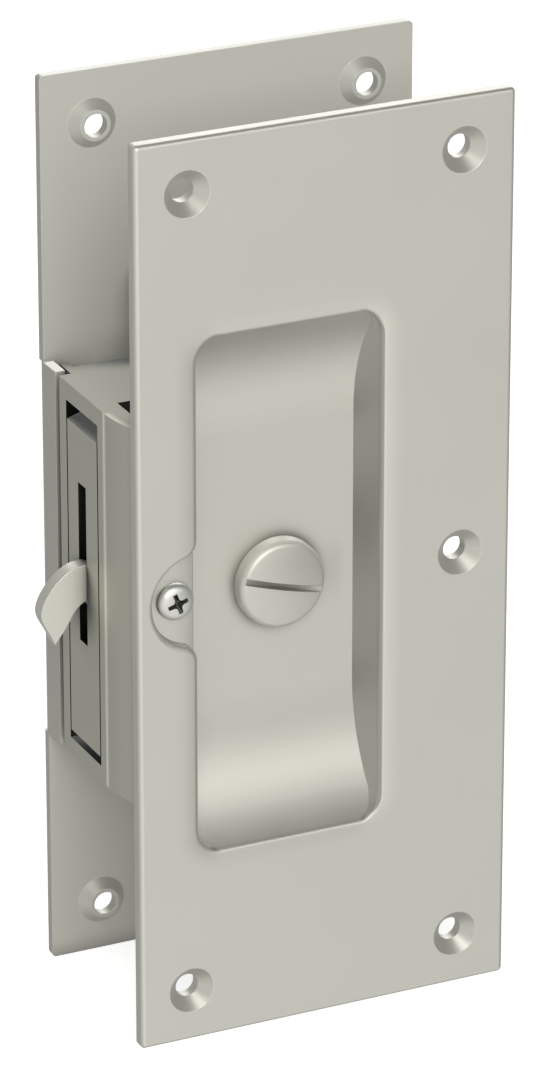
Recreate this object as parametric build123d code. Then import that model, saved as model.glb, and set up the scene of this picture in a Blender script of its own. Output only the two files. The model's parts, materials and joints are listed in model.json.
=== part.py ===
from build123d import *
import math
import os

# Privacy lock set for a pocket door. X runs along the plates (door edge at -X),
# Y runs through the door from the front plate to the rear plate, Z is up.
# The origin is the centre of the front plate's inner face. Millimetres.

# Plates
plate_width = 69.85
plate_height = 165.1
plate_thickness = 2.4
plate_edge_round = 0.8
plate_corner_round = 0.8
door_thickness_least = 34.925
rest_extension = 1.575

# Pressed screw holes
screw_inset = 9.525
hole_radius = 2.1
sink_radius = 4.15
sink_depth = 2.2
collar_height = 1.8
collar_base_radius = 4.4
collar_tip_radius = 2.75

# Finger cups
cup_height = 94.2
cup_depth = 10.9
cup_wall = 1.5
cup_corner = 4.5
cup_rim_depth = 0.25
cup_rim_round = 0.9
scoop_length = 22.1
front_cup_inset = 11.125
front_cup_width = 34.1
rear_cup_width = 26.4

# Side lobe of the front cup and the screw in it
lobe_radius = 8.45
lobe_reach = 0.2
lobe_depth = 2.2
lobe_fillet = 3.0
case_screw_offset = 3.5
case_screw_radius = 1.75
case_screw_head_radius = 3.3
case_screw_head_height = 1.9
case_screw_lug_thickness = 3.0
case_screw_lug_height = 11.0

# Turn axis and its fittings
backset = 30.825
turn_z = -3.85
turn_rest_angle = -15.0
coin_radius = 8.0
coin_stand = 3.9
coin_crown = 0.45
coin_slot_width = 1.8
coin_slot_length = 14.6
coin_slot_depth = 1.7
stem_radius = 4.5
stem_groove_depth = 0.8
washer_thickness = 0.4
washer_radius = 6.8
clip_thickness = 0.6
clip_radius = 6.2
stem_tail = 0.2
spindle_side = 4.0
spindle_inset = 4.0
thumb_disc_radius = 8.5
thumb_disc_height = 1.8
thumb_grip_length = 20.0
thumb_grip_width = 7.0
thumb_grip_top_width = 5.2
thumb_socket_cap = 0.8

# Housing that joins the lock case to the front plate
housing_top = 31.2
housing_bottom = -38.0
housing_wall = 2.0
housing_cover = 1.8
housing_curve_radius = 26.0
housing_curve_depth = 11.1
cover_front = 14.2
cover_lip = 3.9
cover_back_gap = 2.425
housing_back_wall = 1.5
back_wall_gap = 0.95

# Telescoping edge: strip folded from the rear plate over a tongue of the housing
strip_depth = 5.1
strip_thickness = 1.8
strip_bend_radius = 2.0
strip_overhang = 0.6
tongue_thickness = 1.5
tongue_gap = 0.4
joggle_length = 2.2
stop_clearance = 0.1

# Edge pull and its window in the housing
pull_front = 14.2
pull_width = 12.3
pull_foot_rise = 4.4
pull_head_drop = 6.6
pull_thickness = 3.0
pull_top_rise = 0.9
pull_side_gap = 0.45
pull_top_gap = 3.3
pull_bottom_gap = 1.6
pull_lug_radius = 2.8
pull_pin_radius = 1.25
pull_pin_height = 2.6
pull_boss_radius = 2.6
pull_boss_length = 2.0
pull_boss_gap = 0.15
pull_slot_length = 29.3
pull_slot_tip_gap = 1.2

# Hook bolt
hook_thickness = 2.8
hook_side_gap = 0.25
hook_pivot_z = -14.0
hook_pin_radius = 2.0
hook_boss_radius = 4.4
hook_boss_gap = 0.6
hook_top = 0.3
hook_reach = 8.4
hook_drop = 13.9

# Toothed drive between the hub and the hook bolt
hub_teeth = 10
hook_teeth = 14
pressure_angle = 25.0
tooth_addendum = 0.8
tooth_dedendum = 1.05
tooth_backlash = 0.2
hub_barrel_radius = 6.0
hub_flat = 7.0

# Lock case
case_plate_thickness = 1.0
case_edge_gap = 0.8
case_notch_gap = 1.3
case_notch_height = 12.0
spacer_radius = 2.2
spigot_radius = 1.4
upper_spacer_drop = 7.5
lower_spacer_rise = 5.5
front_spacer_inset = 10.0
spring_thickness = 0.5
pull_spring_anchor = 22.0
pull_spring_start = 3.0

# Running clearances
run_gap = 0.05
seat_gap = 0.05
free_gap = 0.3

# Places that follow from the sizes above
edge_x = -plate_width / 2
door_thickness = door_thickness_least + rest_extension
turn_x = edge_x + backset
front_cup_left = edge_x + front_cup_inset
outer_y = -plate_thickness
cup_floor = cup_depth - plate_thickness
cup_back = cup_floor + cup_wall
front_cup_right = front_cup_left + front_cup_width
front_cup_middle = (front_cup_left + front_cup_right) / 2
lobe_x = front_cup_left + lobe_reach
lobe_floor = lobe_depth - plate_thickness
screw_x = front_cup_left - case_screw_offset
strip_end = door_thickness - strip_depth
shoulder_y = strip_end - rest_extension - stop_clearance
tongue_end = door_thickness_least - free_gap
tongue_x = edge_x + strip_thickness + tongue_gap
stem_length = 3 * seat_gap + washer_thickness + clip_thickness + stem_tail
case_back = door_thickness_least - cup_back - stem_length - free_gap
case_inner_back = case_back - case_plate_thickness
hook_back = case_inner_back - hook_side_gap
hook_front = hook_back - hook_thickness
case_inner_front = hook_front - hook_side_gap
case_front = case_inner_front - case_plate_thickness
cover_top_inner = housing_top - housing_cover
cover_bottom_inner = housing_bottom + housing_cover
cover_back = door_thickness_least - cover_back_gap
rear_notch_x = turn_x - rear_cup_width / 2 - cup_wall - free_gap
rear_notch_y = door_thickness_least - cup_back - free_gap
pull_back = pull_front + pull_width
pull_bottom = housing_bottom + pull_foot_rise
pull_top = housing_top - pull_head_drop
pull_slot_bottom = hook_top - hook_drop - pull_slot_tip_gap
pull_slot_top = pull_slot_bottom + pull_slot_length
pull_pin_x = edge_x + pull_lug_radius
pull_pin_z = pull_bottom + pull_pin_height
hook_pivot_x = edge_x + pull_thickness + hook_boss_gap + hook_boss_radius
spring_eye_radius = spacer_radius + run_gap + spring_thickness
detent_face_x = turn_x + hub_flat + seat_gap
detent_post_x = detent_face_x + spring_eye_radius
back_wall_x = detent_post_x + spring_eye_radius + back_wall_gap
housing_back_x = back_wall_x + housing_back_wall
upper_spacer_z = cover_top_inner - upper_spacer_drop
lower_spacer_z = cover_bottom_inner + lower_spacer_rise
front_spacer_x = edge_x + front_spacer_inset
pull_spring_top = pull_bottom - seat_gap
pull_post_x = edge_x + pull_spring_anchor
pull_post_z = pull_spring_top - spring_thickness + spring_eye_radius
thumb_floor = door_thickness - cup_floor
thumb_back = door_thickness - cup_back
spindle_front = cup_floor - coin_stand + spindle_inset


def at_depth(depth):
    """Plane across the door at a given depth, seen from the front: X right, Z up."""
    return Plane(origin=(0, depth, 0), x_dir=(1, 0, 0), z_dir=(0, -1, 0))


def slab(outline, y_front, y_back):
    """An X-Z outline given thickness between two depths."""
    return extrude(at_depth(y_back) * outline, y_back - y_front)


def bar_in_x(outline, x_left, x_right):
    """A Y-Z outline run along X."""
    return extrude(Plane.YZ.offset(x_left) * outline, x_right - x_left)


def column(outline, z_low, z_high):
    """An X-Y outline run up Z."""
    return extrude(Plane.XY.offset(z_low) * outline, z_high - z_low)


def turned(profile, x, z):
    """A closed (radius, depth) profile turned about an axis along Y."""
    return Pos(x, 0, z) * revolve(make_face(Polyline(*profile, close=True)), Axis.Y)


def rod(radius, y_front, y_back, x, z):
    return turned([(0, y_front), (radius, y_front), (radius, y_back), (0, y_back)], x, z)


def ring(inner, outer, y_front, y_back, x, z):
    return turned([(inner, y_front), (outer, y_front), (outer, y_back), (inner, y_back)], x, z)


def rectangle(x_left, x_right, z_low, z_high):
    middle = Pos((x_left + x_right) / 2, (z_low + z_high) / 2)
    return middle * Rectangle(x_right - x_left, z_high - z_low)


def polar(radius, angle, x=0, z=0):
    turn = math.radians(angle)
    return (x + radius * math.cos(turn), z + radius * math.sin(turn))


def turned_square(side):
    """The spindle's square section, set at the turn's rest angle."""
    return Pos(turn_x, turn_z) * Rot(0, 0, turn_rest_angle) * Rectangle(side, side)


def scoop(outset):
    """Y-Z outline of a cup: flat floor and two round ends, grown outwards by a wall."""
    rise = cup_depth - cup_rim_depth
    radius = (scoop_length ** 2 + rise ** 2) / (2 * rise)
    flat_half = cup_height / 2 - scoop_length
    centre_y = cup_floor - radius
    open_y = outer_y - cup_rim_depth
    grown = radius + outset
    end_angle = math.degrees(math.asin((open_y - centre_y) / grown))
    mid_angle = (end_angle + 90) / 2
    arc_points = [polar(grown, angle) for angle in (90, mid_angle, end_angle)]
    upper = [(centre_y + along, flat_half + across) for across, along in arc_points]
    lower = [(y, -z) for y, z in upper]
    lines = [
        Line(lower[0], upper[0]),
        ThreePointArc(*upper),
        Line(upper[2], lower[2]),
        ThreePointArc(*reversed(lower)),
    ]
    return make_face(lines)


def cup_form(left, width, outset, y_open):
    """Solid form of a cup, used once for its hollow and once for its outside."""
    outline = RectangleRounded(width + 2 * outset, cup_height + 2 * outset, cup_corner + outset)
    block = slab(Pos(left + width / 2, 0) * outline, y_open, cup_floor + outset)
    return block & bar_in_x(scoop(outset), left - outset, left + width + outset)


def screw_places():
    side = plate_width / 2 - screw_inset
    end = plate_height / 2 - screw_inset
    return [(-side, end), (side, end), (side, 0), (side, -end), (-side, -end)]


def pressed_hole(x, z):
    """Cutter of one countersunk hole."""
    profile = [
        (0, outer_y - 1),
        (sink_radius, outer_y - 1),
        (sink_radius, outer_y),
        (hole_radius, outer_y + sink_depth),
        (hole_radius, collar_height + 1),
        (0, collar_height + 1),
    ]
    return turned(profile, x, z)


def pressed_collar(x, z):
    """Metal pushed through to the inner side round one hole."""
    profile = [
        (0, outer_y / 2),
        (collar_base_radius, outer_y / 2),
        (collar_base_radius, 0),
        (collar_tip_radius, collar_height),
        (0, collar_height),
    ]
    return turned(profile, x, z)


def lobe_outline():
    """Front cup's outline with its round side lobe, joined by fillets."""
    cup = RectangleRounded(front_cup_width, cup_height, cup_corner)
    outline = Pos(front_cup_middle, 0) * cup + Pos(lobe_x, 0) * Circle(lobe_radius)
    corners = [v for v in outline.vertices() if abs(v.Y) < lobe_radius and v.X < front_cup_left + 0.01]
    return fillet(corners, lobe_fillet)


def dished_plate(cup_left, cup_width, with_lobe):
    """A plate in the front plate's place, with its finger cup and pressed holes."""
    plate = slab(RectangleRounded(plate_width, plate_height, plate_corner_round), outer_y, 0)
    plate = fillet(plate.faces().sort_by(Axis.Y)[0].edges(), plate_edge_round)
    plate += cup_form(cup_left, cup_width, cup_wall, outer_y / 2)
    band = rectangle(edge_x, cup_left + cup_width / 2, -2 * lobe_radius, 2 * lobe_radius)
    if with_lobe:
        backing = offset(lobe_outline(), cup_wall) & band
        plate += slab(backing, outer_y / 2, lobe_floor + cup_wall)
    for x, z in screw_places():
        plate += pressed_collar(x, z)
    plate -= cup_form(cup_left, cup_width, 0, outer_y - 1)
    if with_lobe:
        plate -= slab(lobe_outline() & band, outer_y - 1, lobe_floor)
    rim = [
        edge for edge in plate.edges().filter_by_position(Axis.Y, outer_y - 0.01, outer_y + 0.01)
        if abs(edge.center().X) < plate_width / 2 - 1.5 * plate_edge_round
        and abs(edge.center().Z) < plate_height / 2 - 1.5 * plate_edge_round
    ]
    plate = fillet(rim, cup_rim_round)
    for x, z in screw_places():
        plate -= pressed_hole(x, z)
    plate -= rod(stem_radius + run_gap, cup_floor - 1, cup_back + 1, turn_x, turn_z)
    return plate


def front_plate():
    plate = dished_plate(front_cup_left, front_cup_width, True)
    return plate - rod(case_screw_radius + run_gap, lobe_floor - 1, cup_back, screw_x, 0)


def rear_plate():
    """Second plate, turned about, with the strip folded forward along the door edge."""
    plate = dished_plate(turn_x - rear_cup_width / 2, rear_cup_width, False)
    plate = Pos(0, door_thickness, 0) * mirror(plate, about=Plane.XZ)
    back = door_thickness + plate_thickness
    section = Polyline(
        (edge_x, strip_end),
        (edge_x, back),
        (edge_x + 2 * strip_bend_radius, back),
        (edge_x + 2 * strip_bend_radius, door_thickness),
        (edge_x + strip_thickness, door_thickness),
        (edge_x + strip_thickness, strip_end),
        close=True,
    )
    strip = column(make_face(section), housing_bottom - strip_overhang, housing_top)
    bend = [
        edge for edge in strip.edges().filter_by(Axis.Z)
        if edge.center().Y > back - 0.01 and edge.center().X < edge_x + 0.01
    ]
    strip = fillet(bend, strip_bend_radius)
    notch = column(
        Pos(edge_x, back) * Rectangle(2 * strip_bend_radius, 2 * plate_thickness),
        housing_bottom - strip_overhang,
        housing_top,
    )
    return plate - notch + strip


def housing_outer_line():
    """Outside of the housing's edge wall from the front plate to the tongue's shoulder."""
    centre = (edge_x + housing_curve_radius, housing_curve_depth)
    sweep = math.degrees(math.asin(housing_curve_depth / housing_curve_radius))
    start = polar(housing_curve_radius, 180 + sweep, *centre)
    middle = polar(housing_curve_radius, 180 + sweep / 2, *centre)
    return [
        ThreePointArc(start, middle, (edge_x, housing_curve_depth)),
        Line((edge_x, housing_curve_depth), (edge_x, shoulder_y)),
    ]


def front_housing():
    """Edge wall with its window, two covers, a back wall and the pin bosses."""
    outer = housing_outer_line()
    start = outer[0] @ 0
    inner_radius = housing_curve_radius - housing_wall
    centre = (edge_x + housing_curve_radius, housing_curve_depth)
    sweep = math.degrees(math.asin(housing_curve_depth / inner_radius))
    inner_start = polar(inner_radius, 180 + sweep, *centre)
    inner_middle = polar(inner_radius, 180 + sweep / 2, *centre)
    inner_end = (edge_x + housing_wall, housing_curve_depth)
    joggle_x = tongue_x + tongue_thickness
    wall_section = make_face(outer + [
        Line((edge_x, shoulder_y), (tongue_x, shoulder_y)),
        Line((tongue_x, shoulder_y), (tongue_x, tongue_end)),
        Line((tongue_x, tongue_end), (joggle_x, tongue_end)),
        Line((joggle_x, tongue_end), (joggle_x, shoulder_y - joggle_length)),
        Line((joggle_x, shoulder_y - joggle_length), (edge_x + housing_wall, shoulder_y - joggle_length)),
        Line((edge_x + housing_wall, shoulder_y - joggle_length), inner_end),
        ThreePointArc(inner_end, inner_middle, inner_start),
        Line(inner_start, (start.X, start.Y)),
    ])
    housing = column(wall_section, housing_bottom, housing_top)

    cover_section = make_face(outer + [
        Line((edge_x, shoulder_y), (tongue_x, shoulder_y)),
        Polyline(
            (tongue_x, shoulder_y),
            (tongue_x, cover_back),
            (rear_notch_x, cover_back),
            (rear_notch_x, rear_notch_y),
            (housing_back_x, rear_notch_y),
            (housing_back_x, cover_front),
            (edge_x + cover_lip, cover_front),
            (edge_x + cover_lip, 0),
            (start.X, start.Y),
        ),
    ])
    housing += column(cover_section, cover_top_inner, housing_top)
    housing += column(cover_section, housing_bottom, cover_bottom_inner)
    back_wall = rectangle(back_wall_x, housing_back_x, housing_bottom, housing_top)
    housing += slab(back_wall, cover_front, rear_notch_y)

    lug = rectangle(
        edge_x + housing_wall / 2,
        screw_x + 2 * case_screw_head_radius,
        -case_screw_lug_height / 2,
        case_screw_lug_height / 2,
    )
    lug_front = cup_back + free_gap
    housing += slab(lug, lug_front, lug_front + case_screw_lug_thickness)

    window = rectangle(edge_x - 1, edge_x + housing_wall + pull_boss_radius, window_bottom(), window_top())
    housing -= slab(window, pull_front - pull_side_gap, pull_back + pull_side_gap)
    boss = rectangle(
        edge_x + housing_wall / 2,
        pull_pin_x + pull_boss_radius,
        cover_bottom_inner,
        pull_pin_z + pull_boss_radius,
    )
    inner_faces = (pull_front - pull_boss_gap, pull_back + pull_boss_gap)
    boss_front = slab(boss, inner_faces[0] - pull_boss_length, inner_faces[0])
    boss_back = slab(boss, inner_faces[1], inner_faces[1] + pull_boss_length)
    housing += boss_front
    housing += boss_back
    housing -= rod(pull_pin_radius, inner_faces[0] - pull_boss_length, inner_faces[1] + pull_boss_length,
                   pull_pin_x, pull_pin_z)
    housing -= rod(case_screw_radius, lug_front - 1, lug_front + case_screw_lug_thickness + 1, screw_x, 0)
    relief = offset(lobe_outline(), cup_wall + free_gap)
    housing -= slab(relief & rectangle(edge_x, turn_x, -2 * lobe_radius, 2 * lobe_radius),
                    -1, lobe_floor + cup_wall + free_gap)
    return housing


def window_bottom():
    return pull_bottom - pull_bottom_gap


def window_top():
    return pull_top + pull_top_gap


def spacer_places():
    return [
        (detent_post_x, upper_spacer_z),
        (detent_post_x, lower_spacer_z),
        (pull_post_x, pull_post_z),
        (front_spacer_x, upper_spacer_z),
    ]


def case_plate(y_front, y_back):
    """One cheek of the lock case, held between the housing's covers and back wall."""
    left = edge_x + pull_thickness + case_edge_gap
    notch = pull_pin_x + pull_lug_radius + case_notch_gap
    notch_top = cover_bottom_inner + case_notch_height
    outline = make_face(Polyline(
        (left, cover_top_inner),
        (back_wall_x, cover_top_inner),
        (back_wall_x, cover_bottom_inner),
        (notch, cover_bottom_inner),
        (notch, notch_top),
        (left, notch_top + notch - left),
        close=True,
    ))
    plate = slab(outline, y_front, y_back)
    plate -= rod(hub_barrel_radius + run_gap, y_front - 1, y_back + 1, turn_x, turn_z)
    plate -= rod(hook_pin_radius, y_front - 1, y_back + 1, hook_pivot_x, hook_pivot_z)
    for x, z in spacer_places():
        plate -= rod(spigot_radius, y_front - 1, y_back + 1, x, z)
    return plate


def case_spacers():
    """Four shouldered posts riveted between the cheeks."""
    profile = [
        (0, case_front),
        (spigot_radius, case_front),
        (spigot_radius, case_inner_front),
        (spacer_radius, case_inner_front),
        (spacer_radius, case_inner_back),
        (spigot_radius, case_inner_back),
        (spigot_radius, case_back),
        (0, case_back),
    ]
    return [turned(profile, x, z) for x, z in spacer_places()]


def detent_spring():
    """Leaf with a rolled eye on the upper post, lying on the hub's flat."""
    eye = Pos(detent_post_x, upper_spacer_z) * Circle(spring_eye_radius)
    leaf = rectangle(
        detent_face_x,
        detent_face_x + spring_thickness,
        lower_spacer_z - spacer_radius,
        upper_spacer_z,
    )
    hole = Pos(detent_post_x, upper_spacer_z) * Circle(spacer_radius + run_gap)
    return slab(eye + leaf - hole, case_inner_front + seat_gap, case_inner_back - seat_gap)


def pull_spring():
    """Leaf with a rolled eye, lying under the edge pull's lug to hold it shut."""
    eye = Pos(pull_post_x, pull_post_z) * Circle(spring_eye_radius)
    leaf = rectangle(
        edge_x + pull_spring_start,
        pull_post_x,
        pull_spring_top - spring_thickness,
        pull_spring_top,
    )
    hole = Pos(pull_post_x, pull_post_z) * Circle(spacer_radius + run_gap)
    return slab(eye + leaf - hole, case_inner_front + seat_gap, case_inner_back - seat_gap)


def hook_pivot_pin():
    return rod(hook_pin_radius, case_front, case_back, hook_pivot_x, hook_pivot_z)


def pull_pivot_pin():
    reach = pull_boss_gap + pull_boss_length
    return rod(pull_pin_radius, pull_front - reach, pull_back + reach, pull_pin_x, pull_pin_z)


def case_screw():
    """Pan-head screw through the lobe into the housing's lug."""
    tip = cup_back + free_gap + case_screw_lug_thickness
    head = case_screw_head_height
    profile = make_face([
        Line((0, lobe_floor - head), (case_screw_head_radius / 3, lobe_floor - head)),
        ThreePointArc(
            (case_screw_head_radius / 3, lobe_floor - head),
            (case_screw_head_radius * 0.86, lobe_floor - head * 0.72),
            (case_screw_head_radius, lobe_floor - head * 0.2),
        ),
        Polyline(
            (case_screw_head_radius, lobe_floor - head * 0.2),
            (case_screw_head_radius, lobe_floor),
            (case_screw_radius, lobe_floor),
            (case_screw_radius, tip - case_screw_radius / 2),
            (case_screw_radius / 2, tip),
            (0, tip),
            (0, lobe_floor - head),
        ),
    ])
    return Pos(screw_x, 0, 0) * revolve(profile, Axis.Y)


def stem_profile(floor_y, direction):
    """Half section of a stem through a cup floor, with the clip's groove near its end."""
    back = floor_y + direction * cup_wall
    groove_start = back + direction * (seat_gap + washer_thickness + seat_gap)
    groove_end = groove_start + direction * (clip_thickness + seat_gap)
    tail = groove_end + direction * stem_tail
    groove = stem_radius - stem_groove_depth
    return [
        (stem_radius, floor_y - direction * seat_gap),
        (stem_radius, groove_start),
        (groove, groove_start),
        (groove, groove_end),
        (stem_radius, groove_end),
        (stem_radius, tail),
        (0, tail),
    ]


def coin_turn():
    """Round turn with a crowned face and a saw-cut coin slot."""
    face = cup_floor - coin_stand
    rim = face + coin_crown
    seat = cup_floor - seat_gap
    section = make_face([
        ThreePointArc((0, face), (coin_radius * 0.7, face + coin_crown * 0.49), (coin_radius, rim)),
        Polyline((coin_radius, rim), (coin_radius, seat), *stem_profile(cup_floor, 1), (0, face)),
    ])
    turn = revolve(section, Axis.Y)
    edges = [e for e in turn.edges() if abs(e.center().Y - rim) < 0.01 and e.geom_type == GeomType.CIRCLE]
    turn = Pos(turn_x, 0, turn_z) * fillet(edges, coin_crown)
    saw_radius = (coin_slot_length ** 2 / 4 + coin_slot_depth ** 2) / (2 * coin_slot_depth)
    blade = Pos(0, face + coin_slot_depth - saw_radius) * Circle(saw_radius)
    cut = extrude(Plane.XY.offset(-coin_slot_width / 2) * blade, coin_slot_width)
    cut = Pos(turn_x, 0, turn_z) * Rot(0, -turn_rest_angle, 0) * cut
    return turn - cut - slab(turned_square(spindle_side), spindle_front, cup_back + stem_length + 1)


def stem_washer(back, direction):
    near = back + direction * seat_gap
    far = near + direction * washer_thickness
    return ring(stem_radius + run_gap, washer_radius, min(near, far), max(near, far), turn_x, turn_z)


def stem_clip(back, direction):
    """Open retaining ring that springs into the stem's groove."""
    near = back + direction * (seat_gap + washer_thickness + seat_gap + seat_gap / 2)
    far = near + direction * clip_thickness
    low = min(near, far)
    high = max(near, far)
    groove = stem_radius - stem_groove_depth
    clip = ring(groove + run_gap, clip_radius, low, high, turn_x, turn_z)
    mouth = rectangle(turn_x - groove, turn_x + groove, turn_z - 2 * clip_radius, turn_z)
    return clip - slab(mouth, low - 1, high + 1)


def spindle():
    rear_reach = thumb_tip() - thumb_socket_cap - rest_extension - seat_gap
    return slab(turned_square(spindle_side), spindle_front, rear_reach)


def thumb_tip():
    """The grip stops just inside the rear plate's outer face."""
    return door_thickness + plate_thickness - free_gap


def thumb_turn():
    """Disc, tapered grip and stem of the inside turn, with a deep socket for the spindle."""
    seat = thumb_floor + seat_gap
    disc_top = thumb_floor + thumb_disc_height
    profile = [(thumb_disc_radius, seat), *stem_profile(thumb_floor, -1), (0, disc_top), (thumb_disc_radius, disc_top)]
    turn = turned(profile, turn_x, turn_z)
    lean = Pos(turn_x, turn_z) * Rot(0, 0, turn_rest_angle)
    low = at_depth(disc_top - thumb_disc_height / 2) * (lean * SlotOverall(thumb_grip_length, thumb_grip_width))
    trim = thumb_grip_width - thumb_grip_top_width
    high = at_depth(thumb_tip()) * (lean * SlotOverall(thumb_grip_length - trim, thumb_grip_top_width))
    turn += loft([low.face(), high.face()])
    socket = turned_square(spindle_side + 2 * run_gap)
    return turn - slab(socket, thumb_back - stem_length - 1, thumb_tip() - thumb_socket_cap)


def drive_sizes():
    """Pitch radius of the hub and the hook, and the module, from their distance apart."""
    gap = math.hypot(turn_x - hook_pivot_x, turn_z - hook_pivot_z)
    module = 2 * gap / (hub_teeth + hook_teeth)
    return module * hub_teeth / 2, module * hook_teeth / 2, module


def line_of_centres():
    """Direction from the hook's pivot to the turn axis."""
    return math.degrees(math.atan2(turn_z - hook_pivot_z, turn_x - hook_pivot_x))


def tooth(pitch_radius, count, module, angle, x, z):
    """One involute tooth pointing along an angle from a gear's centre."""
    alpha = math.radians(pressure_angle)
    base = pitch_radius * math.cos(alpha)
    tip = pitch_radius + tooth_addendum * module
    root = pitch_radius - tooth_dedendum * module
    half = math.pi / (2 * count) - tooth_backlash / (4 * pitch_radius)

    def half_angle(radius):
        roll = math.acos(min(1, base / radius))
        return math.degrees(half + math.tan(alpha) - alpha - math.tan(roll) + roll)

    foot = max(base, root)
    radii = [foot + (tip - foot) * step / 4 for step in range(5)]
    left = [polar(r, angle + half_angle(r), x, z) for r in radii]
    right = [polar(r, angle - half_angle(r), x, z) for r in radii]
    sunk = root - module / 2
    left_foot = polar(sunk, angle + half_angle(foot), x, z)
    right_foot = polar(sunk, angle - half_angle(foot), x, z)
    return make_face([
        Spline(*left),
        ThreePointArc(left[-1], polar(tip, angle, x, z), right[-1]),
        Spline(*reversed(right)),
        Polyline(right[0], right_foot, left_foot, left[0]),
    ])


def turn_hub():
    """Hub in the case: four drive teeth, two detent flats and a barrel in each cheek."""
    radius, _, module = drive_sizes()
    root = radius - tooth_dedendum * module
    pitch = 360 / hub_teeth
    outline = Pos(turn_x, turn_z) * Circle(root)
    outline -= rectangle(turn_x + hub_flat, turn_x + 2 * root, turn_z - root, turn_z + root)
    outline -= rectangle(turn_x - root, turn_x + root, turn_z - 2 * root, turn_z - hub_flat)
    first = line_of_centres() + 180
    for step in range(4):
        outline += tooth(radius, hub_teeth, module, first - step * pitch, turn_x, turn_z)
    hub = slab(outline, hook_front, hook_back)
    hub += rod(hub_barrel_radius, case_front + seat_gap, case_back - seat_gap, turn_x, turn_z)
    return hub - slab(turned_square(spindle_side), case_front - 1, case_back + 1)


def hook_bolt():
    """Hook with its pivot boss and toothed tail."""
    _, radius, module = drive_sizes()
    root = radius - tooth_dedendum * module
    pitch = 360 / hook_teeth
    first = line_of_centres() - pitch / 2
    low = first - pitch / 2
    high = first + 3.5 * pitch
    centre = (hook_pivot_x, hook_pivot_z)
    fan = make_face([
        Line(centre, polar(root, low, *centre)),
        ThreePointArc(polar(root, low, *centre), polar(root, (low + high) / 2, *centre), polar(root, high, *centre)),
        Line(polar(root, high, *centre), centre),
    ])
    outline = fan + Pos(*centre) * Circle(hook_boss_radius)
    for step in range(4):
        outline += tooth(radius, hook_teeth, module, first + step * pitch, *centre)
    shoulder = polar(root, high, *centre)
    tip = (edge_x - 0.7 * hook_reach, hook_top - hook_drop)
    beak = make_face([
        Line(centre, shoulder),
        Line(shoulder, (edge_x, hook_top)),
        Spline(
            (edge_x, hook_top),
            (edge_x - 0.62 * hook_reach, hook_top - 0.16 * hook_drop),
            (edge_x - hook_reach, hook_top - 0.56 * hook_drop),
            tip,
            tangents=[(-1, -0.06), (0.35, -1)],
        ),
        Spline(
            tip,
            (edge_x - 0.46 * hook_reach, hook_top - 0.8 * hook_drop),
            (edge_x, hook_top - 0.48 * hook_drop),
            tangents=[(0.6, 1), (1, 0.35)],
        ),
        Line((edge_x, hook_top - 0.48 * hook_drop), polar(hook_boss_radius, 160, *centre)),
        Line(polar(hook_boss_radius, 160, *centre), centre),
    ])
    hook = slab(outline + beak, hook_front, hook_back)
    hook += rod(hook_boss_radius, case_inner_front + seat_gap, case_inner_back - seat_gap, *centre)
    return hook - rod(hook_pin_radius + run_gap, case_front, case_back, *centre)


def edge_pull():
    """Flush bar in the door edge, pivoted at its foot, with a slot for the hook."""
    inner = edge_x + pull_thickness
    outline = make_face(Polyline(
        (edge_x, pull_bottom),
        (edge_x, pull_top),
        (inner, pull_top + pull_top_rise),
        (inner, pull_bottom),
        close=True,
    ))
    lug = Pos(pull_pin_x, pull_pin_z) * Circle(pull_lug_radius)
    below = rectangle(edge_x, pull_pin_x + pull_lug_radius, pull_bottom - pull_lug_radius, pull_bottom)
    pull = slab(outline + lug - below, pull_front, pull_back)
    slot = rectangle(edge_x - 1, inner + 1, pull_slot_bottom, pull_slot_top)
    pull -= slab(slot, case_inner_front, case_inner_back)
    return pull - rod(pull_pin_radius + run_gap, pull_front - 1, pull_back + 1, pull_pin_x, pull_pin_z)


def save(node, shape):
    """Write one node; a list of shapes becomes one file of separate solids."""
    body = Compound(children=shape) if isinstance(shape, list) else shape
    export_step(body, f"parts/{node}.step")


os.makedirs("parts", exist_ok=True)
save("front_plate", front_plate())
save("front_housing", front_housing())
save("case_plate_front", case_plate(case_front, case_inner_front))
save("case_plate_rear", case_plate(case_inner_back, case_back))
save("case_spacers", case_spacers())
save("detent_spring", detent_spring())
save("pull_spring", pull_spring())
save("hook_pivot_pin", hook_pivot_pin())
save("pull_pivot_pin", pull_pivot_pin())
save("case_screw", case_screw())
save("coin_turn", coin_turn())
save("coin_turn_washer", stem_washer(cup_back, 1))
save("coin_turn_clip", stem_clip(cup_back, 1))
save("spindle", spindle())
save("turn_hub", turn_hub())
save("hook_bolt", hook_bolt())
save("edge_pull", edge_pull())
save("rear_plate", rear_plate())
save("thumb_turn", thumb_turn())
save("thumb_turn_washer", stem_washer(thumb_back, -1))
save("thumb_turn_clip", stem_clip(thumb_back, -1))
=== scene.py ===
# %% [markdown]
# # A pocket door lock in satin nickel
#
# A pocket door slides into the wall, so everything on its faces has to lie flush or sink below them.
# This set has two face plates with pressed finger cups, a coin slot on one side, a thumb turn on the
# other, and between them a small case with a hook bolt and a flush pull in the edge of the door.
# The parts were measured and modelled elsewhere. Here they are loaded as they are, and Blender gives
# them their finishes, a few fine details, a camera and soft light.

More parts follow.
